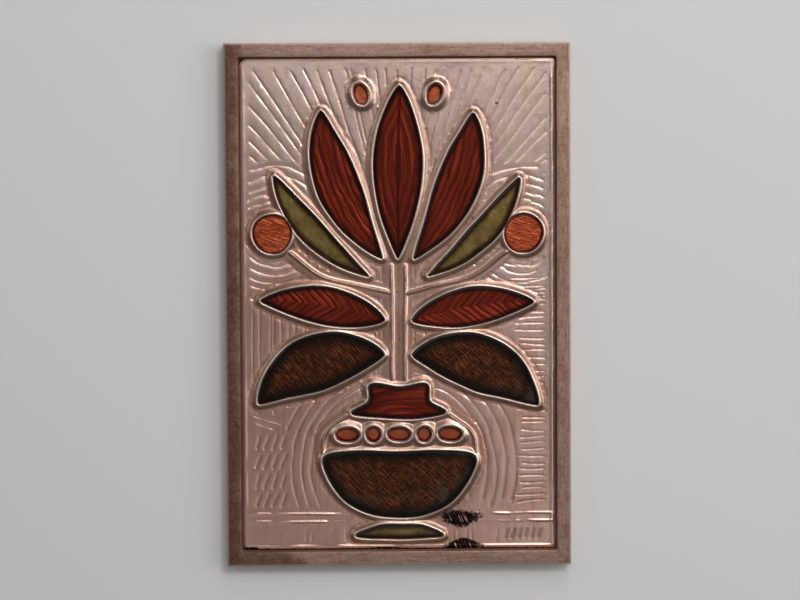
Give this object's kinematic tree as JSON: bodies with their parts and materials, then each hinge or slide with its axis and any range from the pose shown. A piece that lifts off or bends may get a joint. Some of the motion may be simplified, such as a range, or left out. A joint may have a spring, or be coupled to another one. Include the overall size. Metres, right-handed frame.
{
  "type": "framed enamelled relief plaque",
  "caption": "Small framed silver relief plaque of a flowering plant in a footed vase, its raised cells filled with red, dark and olive enamel.",
  "frame": {"origin": "middle of the frame's flat underside, on the surface that the plaque lies on", "axes": "+X to the picture's right, +Y to the picture's top, +Z out of its face: the plaque lies on its back"},
  "size_m": [0.099, 0.15, 0.005],
  "materials": {
    "frame_metal": "satin, with a mottled brown patina",
    "silver": "hand-worked sheet silver, polished, warm and slightly tarnished in the hollows",
    "enamel_red": "glossy transparent red enamel over ribbed metal",
    "enamel_dark": "glossy near-black brown enamel over crosshatched metal",
    "enamel_olive": "glossy amber and olive enamel"
  },
  "bodies": {
    "root": {"frame": "frame_metal", "panel": "silver", "enamel_fruit_left": "enamel_red", "enamel_fruit_right": "enamel_red", "enamel_leaf_low_left": "enamel_dark", "enamel_leaf_low_right": "enamel_dark", "enamel_leaf_mid_left": "enamel_red", "enamel_leaf_mid_right": "enamel_red", "enamel_petal_left": "enamel_red", "enamel_petal_middle": "enamel_red", "enamel_petal_right": "enamel_red", "enamel_seed_left": "enamel_red", "enamel_seed_right": "enamel_red", "enamel_sepal_left": "enamel_olive", "enamel_sepal_right": "enamel_olive", "enamel_vase_band_1": "enamel_red", "enamel_vase_band_2": "enamel_red", "enamel_vase_band_3": "enamel_red", "enamel_vase_band_4": "enamel_red", "enamel_vase_band_5": "enamel_red", "enamel_vase_belly": "enamel_dark", "enamel_vase_foot": "enamel_olive", "enamel_vase_neck": "enamel_red"}
  },
  "joints": []
}
